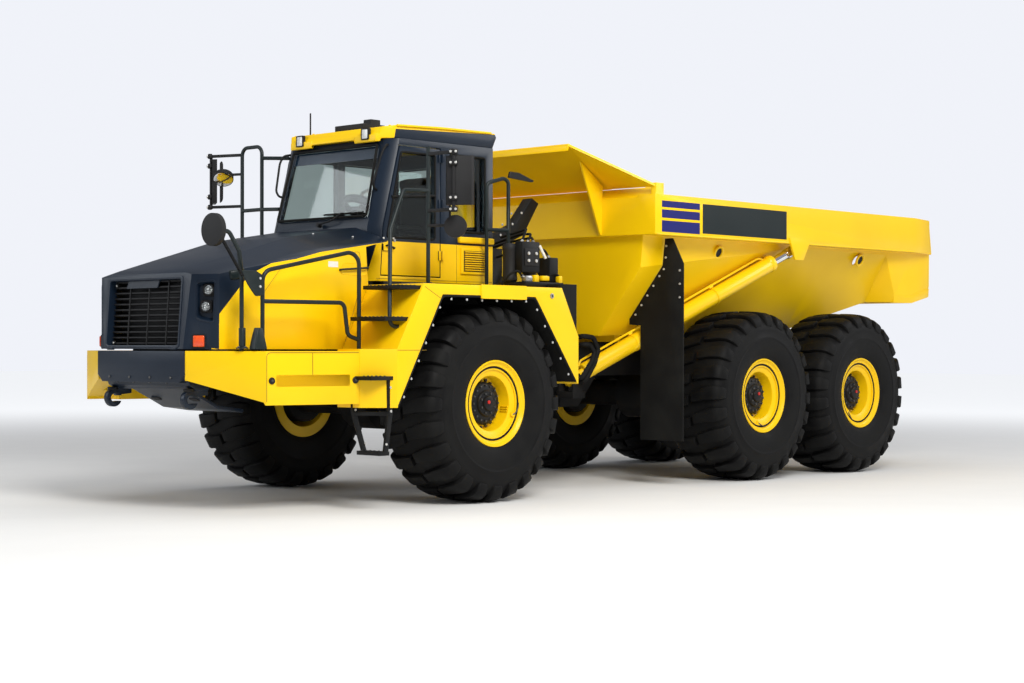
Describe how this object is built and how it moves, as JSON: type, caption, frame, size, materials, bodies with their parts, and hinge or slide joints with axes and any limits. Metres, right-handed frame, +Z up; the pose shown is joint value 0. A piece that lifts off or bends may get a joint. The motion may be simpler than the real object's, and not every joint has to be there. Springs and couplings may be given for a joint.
{
  "type": "articulated dump truck",
  "caption": "Six-wheeled construction truck that bends at a middle hitch, with a centre cab, a sloping hood and a tipping dump body.",
  "frame": {"origin": "on the ground at the middle of the overall length and width", "axes": "+X forward, +Y to the left, +Z up"},
  "size_m": [11.193, 3.5918, 3.82],
  "materials": {
    "yellow_paint": "satin",
    "hoist_yellow": "gloss",
    "rim_yellow": "satin",
    "frame_paint": "satin",
    "dark_trim": "satin",
    "grey_rail": "satin",
    "black_plastic": "matte",
    "black_rubber": "matte",
    "tyre_rubber": "matte",
    "window_glass": "gloss",
    "lamp_glass": "gloss",
    "seat_fabric": "matte",
    "engine_grey": "matte",
    "rod_chrome": "polished"
  },
  "bodies": {
    "front_frame": {"front_chassis": "frame_paint", "front_axle": "frame_paint", "engine_block": "engine_grey", "front_bumper": "dark_trim", "side_boxes": "yellow_paint", "front_fenders": "yellow_paint", "fender_liners": "black_rubber", "rear_deck": "dark_trim", "hydraulic_hoses": "black_rubber", "cab_shell": "yellow_paint", "cab_glass": "window_glass", "cab_roof": "yellow_paint", "roof_unit": "black_plastic", "cab_seats": "seat_fabric", "dashboard": "black_plastic", "access_steps": "dark_trim", "handrails": "grey_rail", "mirrors": "black_plastic"},
    "hood": {"hood_shell": "yellow_paint", "front_grille": "dark_trim", "headlamps": "lamp_glass"},
    "cab_door": {"cab_door": "yellow_paint", "door_glass": "window_glass"},
    "hitch": {"hitch": "frame_paint"},
    "rear_frame": {"rear_chassis": "frame_paint", "hoist_hoses": "black_rubber", "center_axle": "frame_paint", "rear_axle": "frame_paint", "equalizer_beams": "frame_paint"},
    "dump_body": {"dump_box": "yellow_paint", "body_mudflaps": "black_rubber"},
    "front_left_wheel": {"front_left_tyre": "tyre_rubber", "front_left_rim": "rim_yellow"},
    "front_right_wheel": {"front_right_tyre": "tyre_rubber", "front_right_rim": "rim_yellow"},
    "center_left_wheel": {"center_left_tyre": "tyre_rubber", "center_left_rim": "rim_yellow"},
    "center_right_wheel": {"center_right_tyre": "tyre_rubber", "center_right_rim": "rim_yellow"},
    "rear_left_wheel": {"rear_left_tyre": "tyre_rubber", "rear_left_rim": "rim_yellow"},
    "rear_right_wheel": {"rear_right_tyre": "tyre_rubber", "rear_right_rim": "rim_yellow"},
    "left_hoist_barrel": {"left_hoist_barrel": "hoist_yellow"},
    "left_hoist_rod": {"left_hoist_rod": "rod_chrome"},
    "left_steering_barrel": {"left_steering_barrel": "frame_paint"},
    "left_steering_rod": {"left_steering_rod": "rod_chrome"},
    "right_hoist_barrel": {"right_hoist_barrel": "hoist_yellow"},
    "right_hoist_rod": {"right_hoist_rod": "rod_chrome"},
    "right_steering_barrel": {"right_steering_barrel": "frame_paint"},
    "right_steering_rod": {"right_steering_rod": "rod_chrome"}
  },
  "joints": [
    {"name": "articulation", "type": "hinge", "parent": "front_frame", "child": "hitch", "pos_m": [1.1115, 0, 1.08], "axis": [0, 0, 1], "range_deg": [-45, 45]},
    {"name": "oscillation", "type": "hinge", "parent": "hitch", "child": "rear_frame", "pos_m": [0.4865, 0, 1.08], "axis": [1, 0, 0], "range_deg": [-15, 15]},
    {"name": "body_tip", "type": "hinge", "parent": "rear_frame", "child": "dump_body", "pos_m": [-4.3885, 0, 1.62], "axis": [0, -1, 0], "range_deg": [0, 70]},
    {"name": "hood_lift", "type": "hinge", "parent": "front_frame", "child": "hood", "pos_m": [5.4575, 0, 1.442], "axis": [0, 1, 0], "range_deg": [0, 70]},
    {"name": "cab_door_swing", "type": "hinge", "parent": "front_frame", "child": "cab_door", "pos_m": [2.4315, 0.8, 2.75], "axis": [0, 0, 1], "range_deg": [0, 80]},
    {"name": "front_left_spin", "type": "hinge", "parent": "front_frame", "child": "front_left_wheel", "pos_m": [2.6115, 1.345, 0.93], "axis": [0, 1, 0], "continuous": true},
    {"name": "front_right_spin", "type": "hinge", "parent": "front_frame", "child": "front_right_wheel", "pos_m": [2.6115, -1.345, 0.93], "axis": [0, 1, 0], "continuous": true},
    {"name": "center_left_spin", "type": "hinge", "parent": "rear_frame", "child": "center_left_wheel", "pos_m": [-1.7385, 1.345, 0.93], "axis": [0, 1, 0], "continuous": true},
    {"name": "center_right_spin", "type": "hinge", "parent": "rear_frame", "child": "center_right_wheel", "pos_m": [-1.7385, -1.345, 0.93], "axis": [0, 1, 0], "continuous": true},
    {"name": "rear_left_spin", "type": "hinge", "parent": "rear_frame", "child": "rear_left_wheel", "pos_m": [-3.7085, 1.345, 0.93], "axis": [0, 1, 0], "continuous": true},
    {"name": "rear_right_spin", "type": "hinge", "parent": "rear_frame", "child": "rear_right_wheel", "pos_m": [-3.7085, -1.345, 0.93], "axis": [0, 1, 0], "continuous": true},
    {"name": "left_hoist_swing", "type": "hinge", "parent": "rear_frame", "child": "left_hoist_barrel", "pos_m": [0.5415, 0.82, 1.12], "axis": [0.4764, 0.3474, 0.8077], "range_deg": [0, 5.9]},
    {"name": "left_hoist_stroke", "type": "slide", "parent": "left_hoist_barrel", "child": "left_hoist_rod", "axis": [-0.8786, 0.2219, 0.4228], "range_m": [0, 2.4802]},
    {"name": "left_steering_swing", "type": "hinge", "parent": "front_frame", "child": "left_steering_barrel", "pos_m": [2.0915, 0.65, 1.18], "axis": [0, 0, 1], "range_deg": [-1, 1]},
    {"name": "left_steering_stroke", "type": "slide", "parent": "left_steering_barrel", "child": "left_steering_rod", "axis": [-0.9629, -0.27, 0], "range_m": [-0.26, 0.26]},
    {"name": "right_hoist_swing", "type": "hinge", "parent": "rear_frame", "child": "right_hoist_barrel", "pos_m": [0.5415, -0.82, 1.12], "axis": [-0.4764, 0.3474, -0.8077], "range_deg": [0, 5.9]},
    {"name": "right_hoist_stroke", "type": "slide", "parent": "right_hoist_barrel", "child": "right_hoist_rod", "axis": [-0.8786, -0.2219, 0.4228], "range_m": [0, 2.4802]},
    {"name": "right_steering_swing", "type": "hinge", "parent": "front_frame", "child": "right_steering_barrel", "pos_m": [2.0915, -0.65, 1.18], "axis": [0, 0, 1], "range_deg": [-1, 1]},
    {"name": "right_steering_stroke", "type": "slide", "parent": "right_steering_barrel", "child": "right_steering_rod", "axis": [-0.9629, 0.27, 0], "range_m": [-0.26, 0.26]}
  ],
  "couplings": [
    {"joint": "left_hoist_swing", "follows": "body_tip", "ratio": 0.084117},
    {"joint": "left_hoist_stroke", "follows": "body_tip", "m_per_rad": 2.0297},
    {"joint": "left_steering_swing", "follows": "articulation", "ratio": -0.02},
    {"joint": "left_steering_stroke", "follows": "articulation", "m_per_rad": 0.32277},
    {"joint": "right_hoist_swing", "follows": "body_tip", "ratio": 0.084117},
    {"joint": "right_hoist_stroke", "follows": "body_tip", "m_per_rad": 2.0297},
    {"joint": "right_steering_swing", "follows": "articulation", "ratio": -0.02},
    {"joint": "right_steering_stroke", "follows": "articulation", "m_per_rad": -0.32277}
  ]
}
